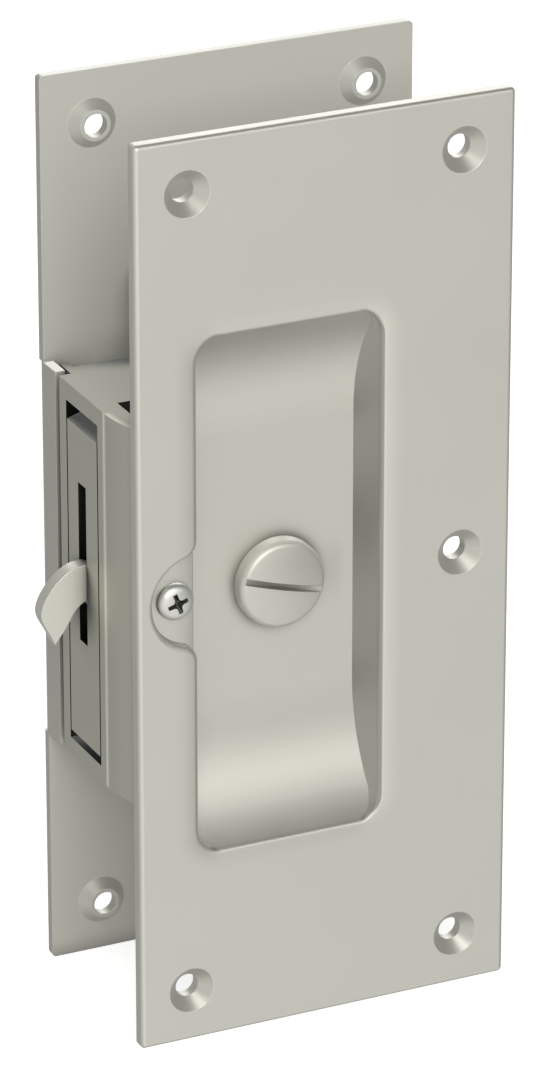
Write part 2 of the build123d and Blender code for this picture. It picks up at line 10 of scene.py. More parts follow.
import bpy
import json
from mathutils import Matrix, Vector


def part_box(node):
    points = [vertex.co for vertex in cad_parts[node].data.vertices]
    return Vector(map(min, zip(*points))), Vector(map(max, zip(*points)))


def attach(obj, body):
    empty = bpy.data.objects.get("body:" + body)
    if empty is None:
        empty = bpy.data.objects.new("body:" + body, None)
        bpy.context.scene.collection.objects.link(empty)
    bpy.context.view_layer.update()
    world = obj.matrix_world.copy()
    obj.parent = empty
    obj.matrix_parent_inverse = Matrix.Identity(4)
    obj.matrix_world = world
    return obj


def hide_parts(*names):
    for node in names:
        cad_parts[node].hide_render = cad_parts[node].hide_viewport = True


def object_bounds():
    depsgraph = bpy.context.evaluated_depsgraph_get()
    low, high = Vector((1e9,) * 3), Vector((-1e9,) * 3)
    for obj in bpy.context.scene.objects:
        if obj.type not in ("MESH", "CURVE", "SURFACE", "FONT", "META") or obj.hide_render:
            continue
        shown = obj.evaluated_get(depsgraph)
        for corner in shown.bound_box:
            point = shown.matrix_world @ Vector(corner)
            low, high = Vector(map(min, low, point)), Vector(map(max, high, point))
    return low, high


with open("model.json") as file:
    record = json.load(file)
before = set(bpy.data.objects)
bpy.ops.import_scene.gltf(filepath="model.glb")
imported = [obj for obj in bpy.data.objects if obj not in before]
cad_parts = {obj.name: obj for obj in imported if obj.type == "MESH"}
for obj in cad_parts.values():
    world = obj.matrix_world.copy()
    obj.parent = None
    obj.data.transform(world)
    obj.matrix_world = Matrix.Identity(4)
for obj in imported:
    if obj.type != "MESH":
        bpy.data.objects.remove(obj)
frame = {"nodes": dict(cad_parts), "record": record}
cad_box = [list(corner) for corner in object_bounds()]
print("parts:", len(frame["nodes"]), "box in metres:", cad_box)

# %% [markdown]
# ## Units and helpers
#
# Blender works in metres, and hardware is drawn in millimetres, so one name keeps the two apart. New
# pieces are built as a bmesh, turned into a mesh, and hung on an object that stays at the origin, so
# that a piece's place is in its mesh, as it is for the measured parts.

# %% Units and helpers
import json
import math

import bmesh
import bpy
from mathutils import Matrix, Vector

MM = 0.001
scene = bpy.context.scene
for name in ("Cube", "Light", "Camera"):
    if name in bpy.data.objects:
        bpy.data.objects.remove(bpy.data.objects[name])
scene.view_settings.view_transform = "Standard"


def new_piece(name, mesh):
    """An object at the origin, linked to the scene."""
    piece = bpy.data.objects.new(name, mesh)
    scene.collection.objects.link(piece)
    return piece


def kept_mesh(name, shape):
    """Turns a bmesh into a mesh, and frees the bmesh."""
    mesh = bpy.data.meshes.new(name)
    shape.to_mesh(mesh)
    shape.free()
    return mesh


def plain_mesh(piece):
    """The mesh that a piece has with its modifiers done, as a mesh of its own."""
    view = bpy.context.evaluated_depsgraph_get()
    return bpy.data.meshes.new_from_object(piece.evaluated_get(view), depsgraph=view)


# %% [markdown]
# ## Shader maths as expressions
#
# A finish is a small sum: a tone, plus a slow drift, plus fine grain. Wiring each plus and minus by
# hand hides that sum, so this class wraps a socket and lets Python's own operators add the Math nodes.
# Every other node comes from its one method `node`, which takes a type, settings and socket values.

# %% Shader maths as expressions
class Wire:
    """An output socket that can stand in a Python expression."""

    def __init__(self, tree, socket):
        self.tree = tree
        self.socket = socket

    @staticmethod
    def node(tree, kind, settings=None, sockets=None):
        made = tree.nodes.new(kind)
        for key, value in (settings or {}).items():
            setattr(made, key, value)
        for key, value in (sockets or {}).items():
            if isinstance(value, Wire):
                tree.links.new(value.socket, made.inputs[key])
            else:
                made.inputs[key].default_value = value
        return made

    def maths(self, operation, first, second):
        made = Wire.node(self.tree, "ShaderNodeMath", {"operation": operation}, {0: first, 1: second})
        return Wire(self.tree, made.outputs[0])

    def __add__(self, other):
        return self.maths("ADD", self, other)

    def __radd__(self, other):
        return self.maths("ADD", other, self)

    def __sub__(self, other):
        return self.maths("SUBTRACT", self, other)

    def __rsub__(self, other):
        return self.maths("SUBTRACT", other, self)

    def __mul__(self, other):
        return self.maths("MULTIPLY", self, other)

    def __rmul__(self, other):
        return self.maths("MULTIPLY", other, self)

    def __pow__(self, other):
        return self.maths("POWER", self, other)

    def size(self):
        return self.maths("ABSOLUTE", self, 0.0)

    def at_least(self, other):
        return self.maths("MAXIMUM", self, other)

    def at_most(self, other):
        return self.maths("MINIMUM", self, other)

    def share(self):
        """Held between 0 and 1."""
        return self.at_least(0.0).at_most(1.0)


print("shader maths ready")

# %% [markdown]
# ## Textures that a metal finish is made of
#
# Plated brass is never one flat grey. Its tone drifts over centimetres, because the plating bath was
# not even, and blasting leaves a grain far finer than a millimetre. Both are Noise textures on Object
# coordinates, so they stay on the part when it moves.

# %% Textures that a metal finish is made of
def new_sheet(name):
    """A material with an empty node tree, its Principled shader and its object coordinates."""
    material = bpy.data.materials.new(name)
    material.use_nodes = True
    tree = material.node_tree
    tree.nodes.clear()
    shader = Wire.node(tree, "ShaderNodeBsdfPrincipled")
    output = Wire.node(tree, "ShaderNodeOutputMaterial")
    tree.links.new(shader.outputs["BSDF"], output.inputs["Surface"])
    place = Wire(tree, Wire.node(tree, "ShaderNodeTexCoord").outputs["Object"])
    return material, tree, shader, place


def along(tree, place, axis):
    """One coordinate of a place, in metres."""
    return Wire(tree, Wire.node(tree, "ShaderNodeSeparateXYZ", None, {0: place}).outputs[axis])


def noise(tree, place, size, detail=2.0):
    """Noise from 0 to 1 whose clouds are about `size` metres across."""
    sockets = {"Vector": place, "Scale": 1 / size, "Detail": detail}
    return Wire(tree, Wire.node(tree, "ShaderNodeTexNoise", None, sockets).outputs["Fac"])


def blend(tree, factor, first, second):
    """Colour between two colours."""
    made = Wire.node(tree, "ShaderNodeMix", {"data_type": "RGBA"}, {0: factor, 6: first, 7: second})
    return Wire(tree, made.outputs[2])


def tinted(tone, share):
    """A tone made lighter or darker, as an RGBA value."""
    return tuple(min(1.0, channel * share) for channel in tone) + (1.0,)


def outline_distance(tree, place, middle, half, corner):
    """Distance from a rounded rectangle in X and Z, in metres: below 0 inside it, above 0 outside."""
    past = []
    for axis, centre, reach in zip("XZ", middle, half):
        past.append(((along(tree, place, axis) - centre).size() - (reach - corner)).at_least(0.0))
    return (past[0] * past[0] + past[1] * past[1]) ** 0.5 - corner


def dot_product(tree, first, second):
    """How far two directions agree: 1 along each other, 0 at right angles."""
    made = Wire.node(tree, "ShaderNodeVectorMath", {"operation": "DOT_PRODUCT"}, {0: first, 1: second})
    return Wire(tree, made.outputs["Value"])


def facing(tree, towards):
    """1 on faces that look the given way, 0 on faces that don't."""
    normal = Wire(tree, Wire.node(tree, "ShaderNodeTexCoord").outputs["Normal"])
    return (2.0 * dot_product(tree, normal, towards) - 1.0).at_least(0.0)


print("textures ready")

# %% [markdown]
# ## Painted shade in crevices and at cup rims
#
# Shade is painted into the colour, blended towards near black, where light hardly reaches: in gaps,
# close round the turns in the cups as a painted shadow, and as a dark line along the lower rim of the
# front cup. An Ambient Occlusion node finds the gaps. The other places are masks, a distance from an
# axis or from the cup's outline, held between 0 and 1. They are worked out in Object coordinates, which
# ride with the part, so the marks stay put when it moves.

# %% Painted shade in crevices and at cup rims
# Painted shade: colours are blended towards this near black where light hardly reaches.
SHADE_TONE = (0.004, 0.004, 0.003, 1.0)
CREVICE_RAYS = 12
OPEN_CREVICE = (2.5 * MM, 0.05, 1.6)
DEEP_CREVICE = (10.0 * MM, 0.60, 3.6)
PLATE_CREVICE = (6.0 * MM, 0.0, 1.25)
FAINT_CREVICE = (1.0 * MM, -0.6, 1.0)
# Painted shadow round the turns in the cups.
TURN_SHADOW_REACH = (6.0 * MM, 0.29, 1.72)
TURN_AXIS = (-4.1 * MM, -3.85 * MM)
TURN_SHADE = 13.0 * MM
TURN_FADE = 4.0 * MM
PLATE_FACE = -2.4 * MM
# Where the dark line of painted shade on the front cup's rim lies.
RIM_LINE = 0.45 * MM
RIM_BAND = 0.80 * MM
RIM_DEPTH = 1.6 * MM
RIM_LEAN = (-2.2, 0, 2.2)


def unshaded_share(tree, crevice):
    """1 on open faces, falling to 0 in crevices of the given reach, darkest share and gain, where shade
    is painted.
    """
    reach, darkest, gain = crevice
    sockets = {"Distance": reach}
    open_share = Wire.node(tree, "ShaderNodeAmbientOcclusion", {"samples": CREVICE_RAYS}, sockets)
    return (gain * (Wire(tree, open_share.outputs["AO"]) - darkest)).share()


def near_turn(tree, place):
    """1 close round the turns in the cups, where a shadow is painted on the plate, 0 away from them."""
    past_axis = outline_distance(tree, place, TURN_AXIS, (0, 0), 0)
    return ((TURN_SHADE - past_axis) * (1 / TURN_FADE)).share()


def shaded_rim_line(tree, place, past_rim):
    """1 on the rolled rim at the lower and right sides of the front cup, where a dark line of painted
    shade damps the highlight, 0 elsewhere.
    """
    below_face = along(tree, place, "Y") - PLATE_FACE
    band = (1.0 - (past_rim - RIM_LINE).size() * (1 / RIM_BAND)).share()
    band = band * (1.0 - below_face * (1 / RIM_DEPTH)).share()
    return band * facing(tree, RIM_LEAN).at_most(1.0)


crevice_kinds = (OPEN_CREVICE, DEEP_CREVICE, PLATE_CREVICE, FAINT_CREVICE, TURN_SHADOW_REACH)
print("crevice reaches in mm:", [round(kind[0] / MM, 1) for kind in crevice_kinds])

# %% [markdown]
# ## Painted light and shade on the housing
#
# The housing is one folded wall. Its fold line and upper lip get a painted highlight, and the walls of
# the window in it get painted shade, near black. A Bevel node can't tell these from other edges, so
# each is a mask from the fold's own measures; the faces that look to the front are painted in shade too.

# %% Painted light and shade on the housing
FOLD_DEPTH = 11.1 * MM
FOLD_REACH = 0.8 * MM
CURVE_RADIUS = 26.0 * MM
CURVE_MIDDLE = -8.925 * MM
LIP_REACH = 1.3 * MM
WINDOW_FRONT = -34.825 * MM
WINDOW_MIDDLE = (20.35 * MM, -2.5 * MM)
WINDOW_HALF = (6.8 * MM, 33.0 * MM)
WINDOW_FADE = 0.1 * MM
DOOR_EDGE_SIDE = (-1, 0, 0)
UPPER_SIDE = (0, 0, 1)


def near_fold(tree, place):
    """1 along the line where the housing's wall starts to curve, where a highlight is painted, 0 away
    from it.
    """
    past = (along(tree, place, "Y") - FOLD_DEPTH).size()
    return (1.0 - past * (1 / FOLD_REACH)).at_least(0.0) * facing(tree, DOOR_EDGE_SIDE)


def near_lip(tree, place):
    """1 along the upper lip of the housing's curved wall, where a highlight is painted, 0 away from it.
    """
    across = along(tree, place, "X") - CURVE_MIDDLE
    before = (FOLD_DEPTH - along(tree, place, "Y")).at_least(0.0)
    past_curve = CURVE_RADIUS - (across * across + before * before) ** 0.5
    on_curve = (before * (1 / FOLD_REACH)).share()
    return (1.0 - past_curve * (1 / LIP_REACH)).share() * on_curve * facing(tree, UPPER_SIDE)


def in_window(tree, place):
    """1 on the walls of the housing's window, where shade is painted near black, 0 on its outside."""
    inside = ((along(tree, place, "X") - WINDOW_FRONT) * (1 / WINDOW_FADE)).share()
    for axis, middle, half in zip("YZ", WINDOW_MIDDLE, WINDOW_HALF):
        past = (along(tree, place, axis) - middle).size()
        inside = inside * ((half - past) * (1 / WINDOW_FADE)).share()
    return inside * (1.0 - facing(tree, DOOR_EDGE_SIDE))


print("window in mm:", [round(2 * half / MM, 1) for half in WINDOW_HALF])

# %% [markdown]
# ## Satin nickel
#
# All that the hand or eye meets is brass with a satin nickel plate: a warm, pale grey metal that
# blurs what it reflects. Edges are a little smoother where hands and the polishing wheel reach them,
# and are painted a little brighter, as a highlight: a Bevel node finds them, because there the
# softened normal leaves the true one. Faces that lie against the door are plated but never brushed,
# so they stay matt. Round a pressed cup the flat sheet sags a little before it dips. That roll is far
# flatter than the rim's own round, so it is a Bump from the distance to the cup's outline, on top of a
# fine blasted grain.

# %% Satin nickel
EDGE_REACH = 0.22 * MM
EDGE_RAYS = 4
EDGE_FOCUS = 4.0
DRIFT_SIZE = 22 * MM
DRIFT_DETAIL = 3.0
GRAIN_SIZE = 0.16 * MM
GRAIN_HEIGHT = 0.004 * MM
GRAIN_STRENGTH = 0.5
CUP_HALF_HEIGHT = 47.1 * MM
CUP_CORNER = 4.5 * MM
FRONT_CUP = (-6.75 * MM, 17.05 * MM)
REAR_CUP = (-4.1 * MM, 13.2 * MM)
RIM_REACH = 2.0 * MM
RIM_SHADE = 0.42
ROLL_REACH = 5.0 * MM
ROLL_DEPTH = 0.50 * MM
ROLL_POWER = 3.0
FRONT_SIDE = (0, -1, 0)
REAR_SIDE = (0, 1, 0)
SATIN = 0.46
METAL_SHARE = 0.75
MATT_LOSS = 0.5
MATT_ROUGHNESS = 0.15
DRIFT_ROUGHNESS = 0.10
GRAIN_ROUGHNESS = 0.05
EDGE_POLISH = 0.06


def polished_and_highlit_edges(tree):
    """The softened normal, and a mask that is 1 on edges: smoother there, where hands and the wheel
    reach, and brighter, as a painted highlight.
    """
    soft = Wire.node(tree, "ShaderNodeBevel", {"samples": EDGE_RAYS}, {"Radius": EDGE_REACH})
    normal = Wire(tree, soft.outputs["Normal"])
    true = Wire(tree, Wire.node(tree, "ShaderNodeNewGeometry").outputs["Normal"])
    return normal, (EDGE_FOCUS * (1.0 - dot_product(tree, normal, true))).share()


def raised(tree, normal, height, depth, strength=1.0, invert=False):
    """The normal of a face that a height from 0 to 1 lifts, or sinks if it is inverted."""
    sockets = {"Strength": strength, "Distance": depth, "Height": height, "Normal": normal}
    return Wire(tree, Wire.node(tree, "ShaderNodeBump", {"invert": invert}, sockets).outputs["Normal"])


def metal_finish(
    name, tone, roughness=SATIN, drift=0.03, edge_highlight_gain=0.30, crevice=OPEN_CREVICE, matt_side=None,
    matt_unshaded_share=1.0, cup=None, fold_highlight_gain=0.0, shade_side=None, side_light_gain=0.0,
):
    """A plated metal with drifting tone, fine grain, painted highlights on edges and painted shade in
    crevices.
    """
    material, tree, shader, place = new_sheet(name)
    clouds = noise(tree, place, DRIFT_SIZE, DRIFT_DETAIL)
    specks = noise(tree, place, GRAIN_SIZE)
    normal, edge = polished_and_highlit_edges(tree)
    normal = raised(tree, normal, specks, GRAIN_HEIGHT, GRAIN_STRENGTH)
    unshaded = unshaded_share(tree, crevice)
    if cup:
        past_rim = outline_distance(tree, place, (cup[0], 0), (cup[1], CUP_HALF_HEIGHT), CUP_CORNER)
        edge = edge * (past_rim * (1 / RIM_REACH)).share()
        # Painted shadow on the plate round the turn, and painted shade between the plates on their matt
        # side.
        shadow_round_turn = near_turn(tree, place) * (1.0 - unshaded_share(tree, TURN_SHADOW_REACH))
        unshaded = 1.0 - shadow_round_turn.at_least(facing(tree, matt_side) * (1.0 - unshaded))
        sag = (1.0 - past_rim * (1 / ROLL_REACH)).share() ** ROLL_POWER
        normal = raised(tree, normal, sag, ROLL_DEPTH, invert=True)
    colour = blend(tree, clouds, tinted(tone, 1 - drift), tinted(tone, 1 + drift))
    # Painted highlight: edges are made brighter.
    colour = blend(tree, edge, colour, tinted(tone, 1 + edge_highlight_gain))
    # Painted highlight along the housing's fold line and upper lip.
    if fold_highlight_gain:
        bright = near_fold(tree, place).at_least(near_lip(tree, place))
        colour = blend(tree, bright, colour, tinted(tone, 1 + fold_highlight_gain))
    # Painted shade: a dark line along the front cup's lower rim, where the rolled rim would catch a
    # highlight.
    if cup == FRONT_CUP:
        colour = blend(tree, RIM_SHADE * shaded_rim_line(tree, place, past_rim), colour, SHADE_TONE)
    # Painted shade: crevices, and the plate round the turn, are blended towards near black.
    colour = blend(tree, unshaded, SHADE_TONE, colour)
    uneven = roughness + DRIFT_ROUGHNESS * (clouds - 0.5) + GRAIN_ROUGHNESS * (specks - 0.5)
    uneven = uneven - EDGE_POLISH * edge
    shader.inputs["Metallic"].default_value = METAL_SHARE
    if matt_side:
        matt = facing(tree, matt_side)
        # Painted shade: on the matt side the tone is blended part of the way to near black, as on the
        # housing's upper faces.
        if matt_unshaded_share < 1:
            colour = blend(tree, matt * (1 - matt_unshaded_share), colour, SHADE_TONE)
        tree.links.new((METAL_SHARE - MATT_LOSS * matt).socket, shader.inputs["Metallic"])
        uneven = uneven + MATT_ROUGHNESS * matt
    # Painted light: sides that don't look to the front are made brighter, and less metallic.
    if side_light_gain:
        side = 1.0 - facing(tree, FRONT_SIDE)
        colour = blend(tree, side, colour, tinted(tone, 1 + side_light_gain))
        tree.links.new((METAL_SHARE - MATT_LOSS * side).socket, shader.inputs["Metallic"])
    # Painted shade: faces that look the given way, and the walls of the housing's window, go near black.
    if shade_side:
        hidden_shade = facing(tree, shade_side).at_least(in_window(tree, place))
        colour = blend(tree, hidden_shade, colour, SHADE_TONE)
    tree.links.new(colour.socket, shader.inputs["Base Color"])
    tree.links.new(uneven.socket, shader.inputs["Roughness"])
    tree.links.new(normal.socket, shader.inputs["Normal"])
    print("finish:", name, "nodes:", len(tree.nodes))
    return material


print("plating ready")

# %% [markdown]
# ## One nickel for each part
#
# The parts come out of the plating bath with the same metal. Their tones here differ as painted light
# and shade: the rear plate, the housing and the bar in the door edge are darker, the hook is lighter,
# and the coin turn and its slot are a little darker. So each part gets its own tone of the one finish,
# and names the side that stays matt or that is painted in shade.

# %% One nickel for each part
# Each tone is the nickel made darker as painted shade or lighter as painted light.
NICKEL = (0.560, 0.556, 0.497)
SHADED_NICKEL = (0.510, 0.506, 0.452)
SHADED_EDGE_NICKEL = (0.472, 0.469, 0.402)
LIT_HOOK_NICKEL = (0.630, 0.626, 0.556)
SHADED_COIN_NICKEL = (0.515, 0.511, 0.457)
SHADED_SLOT_NICKEL = (0.400, 0.397, 0.355)
SCREW_NICKEL = (0.590, 0.586, 0.540)

satin_nickel = metal_finish("satin_nickel_fittings", NICKEL)
hook_nickel = metal_finish("satin_nickel_hook", LIT_HOOK_NICKEL)
edge_nickel = metal_finish("satin_nickel_door_edge", SHADED_EDGE_NICKEL, crevice=DEEP_CREVICE)
front_nickel = metal_finish(
    "satin_nickel_front_plate", NICKEL, crevice=PLATE_CREVICE, matt_side=REAR_SIDE, cup=FRONT_CUP,
)
rear_nickel = metal_finish(
    "satin_nickel_rear_plate", SHADED_NICKEL, crevice=PLATE_CREVICE, matt_side=FRONT_SIDE, cup=REAR_CUP,
)
housing_nickel = metal_finish(
    "satin_nickel_housing", SHADED_EDGE_NICKEL, crevice=DEEP_CREVICE, matt_side=UPPER_SIDE, matt_unshaded_share=0.90,
    fold_highlight_gain=0.8, shade_side=FRONT_SIDE,
)
# Painted light on the coin turn's sides, and painted shade in its slot, which is darker than the knob.
coin_nickel = metal_finish(
    "satin_nickel_coin_turn", SHADED_COIN_NICKEL, edge_highlight_gain=0.0, crevice=FAINT_CREVICE, side_light_gain=0.25,
)
slot_nickel = metal_finish("satin_nickel_coin_slot", SHADED_SLOT_NICKEL, edge_highlight_gain=0.0, crevice=FAINT_CREVICE)
bright_nickel = metal_finish("bright_nickel_screw", SCREW_NICKEL, roughness=0.44)

# %% [markdown]
# ## Steel inside the case
#
# The lock case's plated steel is painted near black, as painted shade, so that the gaps round the edge
# pull look almost black; its edges get a painted highlight. The springs and clips are bare spring steel,
# tempered to a darker, bluer grey than the plates.

# %% Steel inside the case
# Painted shade: the case steel is near black, so gaps into the case read as shadow.
CASE_SHADE_TONE = (0.020, 0.020, 0.019)
SPRING_STEEL = (0.270, 0.275, 0.290)

shaded_case_steel = metal_finish("blackened_steel", CASE_SHADE_TONE, roughness=0.52, drift=0.25, edge_highlight_gain=1.5)
spring_steel = metal_finish(
    "tempered_spring_steel", SPRING_STEEL, roughness=0.36, drift=0.08, edge_highlight_gain=0.25,
)

# %% [markdown]
# ## Put the finishes on the parts
#
# The record names a material slot for every part, so one table from slot to finish dresses them all.
# The plates, the housing, the bar in the edge and the hook then get the version made for them.

# %% Put the finishes on the parts
finish_of_slot = {"satin_nickel": satin_nickel, "plated_steel": shaded_case_steel, "spring_steel": spring_steel}
finish_of_part = {
    "front_plate": front_nickel, "rear_plate": rear_nickel, "front_housing": housing_nickel,
    "edge_pull": edge_nickel, "hook_bolt": hook_nickel,
}
for part in frame["record"]["subparts"]:
    finish = finish_of_part.get(part["node"], finish_of_slot[part["material_slot"]])
    node = frame["nodes"][part["node"]]
    node.data.materials.clear()
    node.data.materials.append(finish)

# %% [markdown]
# ## Turning and cutting
#
# Small round parts are turned on a lathe from bar, and their slots are cut or pressed in afterwards. The
# script works the same way: half an outline is spun round an axis, and a Boolean takes a cutter's shape
# out of it. The cutter lends its finish to the faces that it cuts, so a slot can be painted darker, as
# shade, than the plated face round it.

# %% Turning and cutting
SPIN_STEPS = 72
SHARP_ANGLE = math.radians(35)
MERGE_DISTANCE = 0.001 * MM


def turned_mesh(name, outline, axis):
    """Closed mesh spun from a half outline round a line along Y."""
    shape = bmesh.new()
    points = [shape.verts.new((axis.x + radius, depth, axis.z)) for radius, depth in outline]
    edges = [shape.edges.new(pair) for pair in zip(points, points[1:])]
    bmesh.ops.spin(
        shape, geom=points + edges, cent=axis, axis=(0, 1, 0), angle=math.tau, steps=SPIN_STEPS,
    )
    bmesh.ops.remove_doubles(shape, verts=shape.verts, dist=MERGE_DISTANCE)
    bmesh.ops.recalc_face_normals(shape, faces=shape.faces)
    return kept_mesh(name, shape)


def smooth_by_angle(mesh):
    """Smooth shading with sharp edges where two faces meet at a clear angle."""
    mesh.shade_smooth()
    mesh.set_sharp_from_angle(angle=SHARP_ANGLE)


def cut_with(piece, cutter_mesh, finish):
    """Takes a cutter's shape out of a piece, and gives the cut faces a finish of their own."""
    cutter = new_piece(cutter_mesh.name, cutter_mesh)
    cutter.data.materials.append(finish)
    cut = piece.modifiers.new("cut", "BOOLEAN")
    cut.operation = "DIFFERENCE"
    cut.solver = "EXACT"
    cut.material_mode = "TRANSFER"
    cut.object = cutter
    whole = plain_mesh(piece)
    piece.modifiers.remove(cut)
    piece.data = whole
    bpy.data.objects.remove(cutter)


print("lathe steps:", SPIN_STEPS)

# %% [markdown]
# ## The case screw
#
# One short pan-head screw in the side lobe of the cup ties the front plate to the case. Its head is
# a turned shape, so it is spun from half a profile, and the driver's cross is cut into it with a
# tapered cutter, as a header punch presses it. The cut faces of the cross get a dark tone, painted
# shade in the recess.

# %% The case screw
HEAD_HEIGHT = 1.9 * MM
HEAD_RIM = 0.18
CROWN_STEPS = 12
CROWN_SPREAD = 0.72
CROWN_FALL = 0.85
CORE_RADIUS = 1.42 * MM
TIP_SHARE = 0.4
CROSS_REACH = 2.05 * MM
CROSS_HALF_WIDTH = 0.42 * MM
CROSS_CORNER = 0.55 * MM
CORNER_STEPS = 5
CROSS_DEPTH = 1.25 * MM
CROSS_TAPER = 0.42
CROSS_TURN = math.radians(18)
RECESS_SHADE_TONE = (0.090, 0.088, 0.080)

low, high = (Vector(corner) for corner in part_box("case_screw"))
head_radius = (high.x - low.x) / 2
screw_axis = Vector(((low.x + high.x) / 2, 0, (low.z + high.z) / 2))
head_top = low.y
seat = head_top + HEAD_HEIGHT


def head_profile():
    """Half outline of the screw as pairs of radius and depth, from the crown to the tip."""
    outline = [(0.0, head_top)]
    for step in range(1, CROWN_STEPS + 1):
        angle = math.radians(90 * step / CROWN_STEPS)
        rise = HEAD_RIM + (1 - HEAD_RIM) * math.cos(angle) ** CROWN_FALL
        outline.append((head_radius * math.sin(angle) ** CROWN_SPREAD, seat - HEAD_HEIGHT * rise))
    outline += [(head_radius, seat), (CORE_RADIUS, seat), (CORE_RADIUS, high.y - CORE_RADIUS)]
    outline += [(CORE_RADIUS * TIP_SHARE, high.y), (0.0, high.y)]
    return outline


def cross_outline(scale):
    """Outline of the driver's cross, its inner corners rounded."""
    points = []
    for quarter in range(4):
        turn = CROSS_TURN + quarter * math.pi / 2
        arm = [(CROSS_REACH, CROSS_HALF_WIDTH)]
        for step in range(CORNER_STEPS + 1):
            angle = math.radians(270 - 90 * step / CORNER_STEPS)
            arm.append((CROSS_HALF_WIDTH + CROSS_CORNER * (1 + math.cos(angle)),
                        CROSS_HALF_WIDTH + CROSS_CORNER * (1 + math.sin(angle))))
        arm.append((CROSS_HALF_WIDTH, CROSS_REACH))
        for x, z in arm:
            points.append((scale * (x * math.cos(turn) - z * math.sin(turn)),
                           scale * (x * math.sin(turn) + z * math.cos(turn))))
    return points


def cross_cutter():
    """Tapered cross that stands in front of the head and ends inside it."""
    shape = bmesh.new()
    rings = []
    for side, scale in ((-1, 2 - CROSS_TAPER), (1, CROSS_TAPER)):
        depth = head_top + side * CROSS_DEPTH
        outline = [(screw_axis.x + x, depth, screw_axis.z + z) for x, z in cross_outline(scale)]
        rings.append([shape.verts.new(point) for point in outline])
    for ring in rings:
        shape.faces.new(ring)
    count = len(rings[0])
    for place in range(count):
        after = (place + 1) % count
        shape.faces.new((rings[0][place], rings[0][after], rings[1][after], rings[1][place]))
    bmesh.ops.recalc_face_normals(shape, faces=shape.faces)
    return kept_mesh("cross_cutter", shape)


# Painted shade in the driver's cross.
dark_recess = metal_finish("dark_recess", RECESS_SHADE_TONE, roughness=0.55, crevice=FAINT_CREVICE)
screw = new_piece("case_screw_detail", turned_mesh("case_screw_detail", head_profile(), screw_axis))
screw.data.materials.append(bright_nickel)
cut_with(screw, cross_cutter(), dark_recess)
smooth_by_angle(screw.data)
print("screw faces:", len(screw.data.polygons), "finishes:", [m.name for m in screw.data.materials])

# %% [markdown]
# ## The coin turn
#
# The turn in the front cup is a turned knob with a low dome and a soft shoulder, so that fingers slide
# over it. Its slot is cut with a round saw, which leaves a floor that rises to both ends, as a coin
# likes it. So the knob is spun like the screw, a thin disc cuts the slot, and a square bar cuts the
# socket for the spindle. Both cuts are painted darker than the knob, as shade, and the knob's sides are
# painted lighter, as light. Its place, radius and depth come from the measured part that it replaces.

# %% The coin turn
DOME_HEIGHT = 0.9 * MM
SHOULDER_RADIUS = 1.25 * MM
CUP_WALL = 1.5 * MM
STEM_RADIUS = 4.5 * MM
GROOVE_RADIUS = 3.7 * MM
GROOVE_PLAY = 0.03 * MM
SLOT_WIDTH = 1.15 * MM
SLOT_DEPTH = 1.9 * MM
BLADE_RADIUS = 30.0 * MM
BLADE_SIDES = 180
SOCKET_SIDE = 4.0 * MM
SOCKET_START = 4.0 * MM
SLOT_TURN = math.radians(15)
DOME_STEPS = 10

coin_low, coin_high = (Vector(corner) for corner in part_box("coin_turn"))
coin_axis = Vector(((coin_low.x + coin_high.x) / 2, 0, (coin_low.z + coin_high.z) / 2))
coin_radius = (coin_high.x - coin_low.x) / 2
washer_low = Vector(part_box("coin_turn_washer")[0])
clip_low, clip_high = (Vector(corner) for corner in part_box("coin_turn_clip"))
plate_floor = washer_low.y - CUP_WALL


def knob_profile():
    """Half outline of the knob as pairs of radius and depth, from the crown to the stem's end."""
    crown = coin_low.y
    slope = 2 * DOME_HEIGHT / coin_radius
    lean = math.atan(slope)
    dome_radius = coin_radius - SHOULDER_RADIUS * (1 - math.sin(lean))
    outline = []
    for step in range(DOME_STEPS + 1):
        radius = dome_radius * step / DOME_STEPS
        outline.append((radius, crown + slope * radius ** 2 / (2 * dome_radius)))
    edge_depth = outline[-1][1]
    for step in range(1, DOME_STEPS + 1):
        angle = lean + (math.pi / 2 - lean) * step / DOME_STEPS
        outline.append((dome_radius + SHOULDER_RADIUS * (math.sin(angle) - math.sin(lean)),
                        edge_depth + SHOULDER_RADIUS * (math.cos(lean) - math.cos(angle))))
    groove_start, groove_end = clip_low.y - GROOVE_PLAY, clip_high.y + GROOVE_PLAY
    outline += [(coin_radius, plate_floor), (STEM_RADIUS, plate_floor), (STEM_RADIUS, groove_start)]
    outline += [(GROOVE_RADIUS, groove_start), (GROOVE_RADIUS, groove_end), (STEM_RADIUS, groove_end)]
    outline += [(STEM_RADIUS, coin_high.y), (0.0, coin_high.y)]
    return outline


def saw_disc():
    """Round saw blade that stands in the slot."""
    middle = coin_axis + Vector((0, coin_low.y + SLOT_DEPTH - BLADE_RADIUS, 0))
    shape = bmesh.new()
    bmesh.ops.create_cone(
        shape, cap_ends=True, segments=BLADE_SIDES, radius1=BLADE_RADIUS, radius2=BLADE_RADIUS,
        depth=SLOT_WIDTH, matrix=Matrix.Translation(middle) @ Matrix.Rotation(SLOT_TURN, 4, "Y"),
    )
    return kept_mesh("saw_disc", shape)


def socket_bar():
    """Square bar that stands in the spindle's socket and out of the stem's end."""
    start = coin_low.y + SOCKET_START
    length = 2 * (coin_high.y - start)
    middle = coin_axis + Vector((0, start + length / 2, 0))
    turned = Matrix.Translation(middle) @ Matrix.Rotation(SLOT_TURN, 4, "Y")
    shape = bmesh.new()
    bmesh.ops.create_cube(
        shape, size=1.0, matrix=turned @ Matrix.Diagonal((SOCKET_SIDE, length, SOCKET_SIDE, 1.0)),
    )
    return kept_mesh("socket_bar", shape)


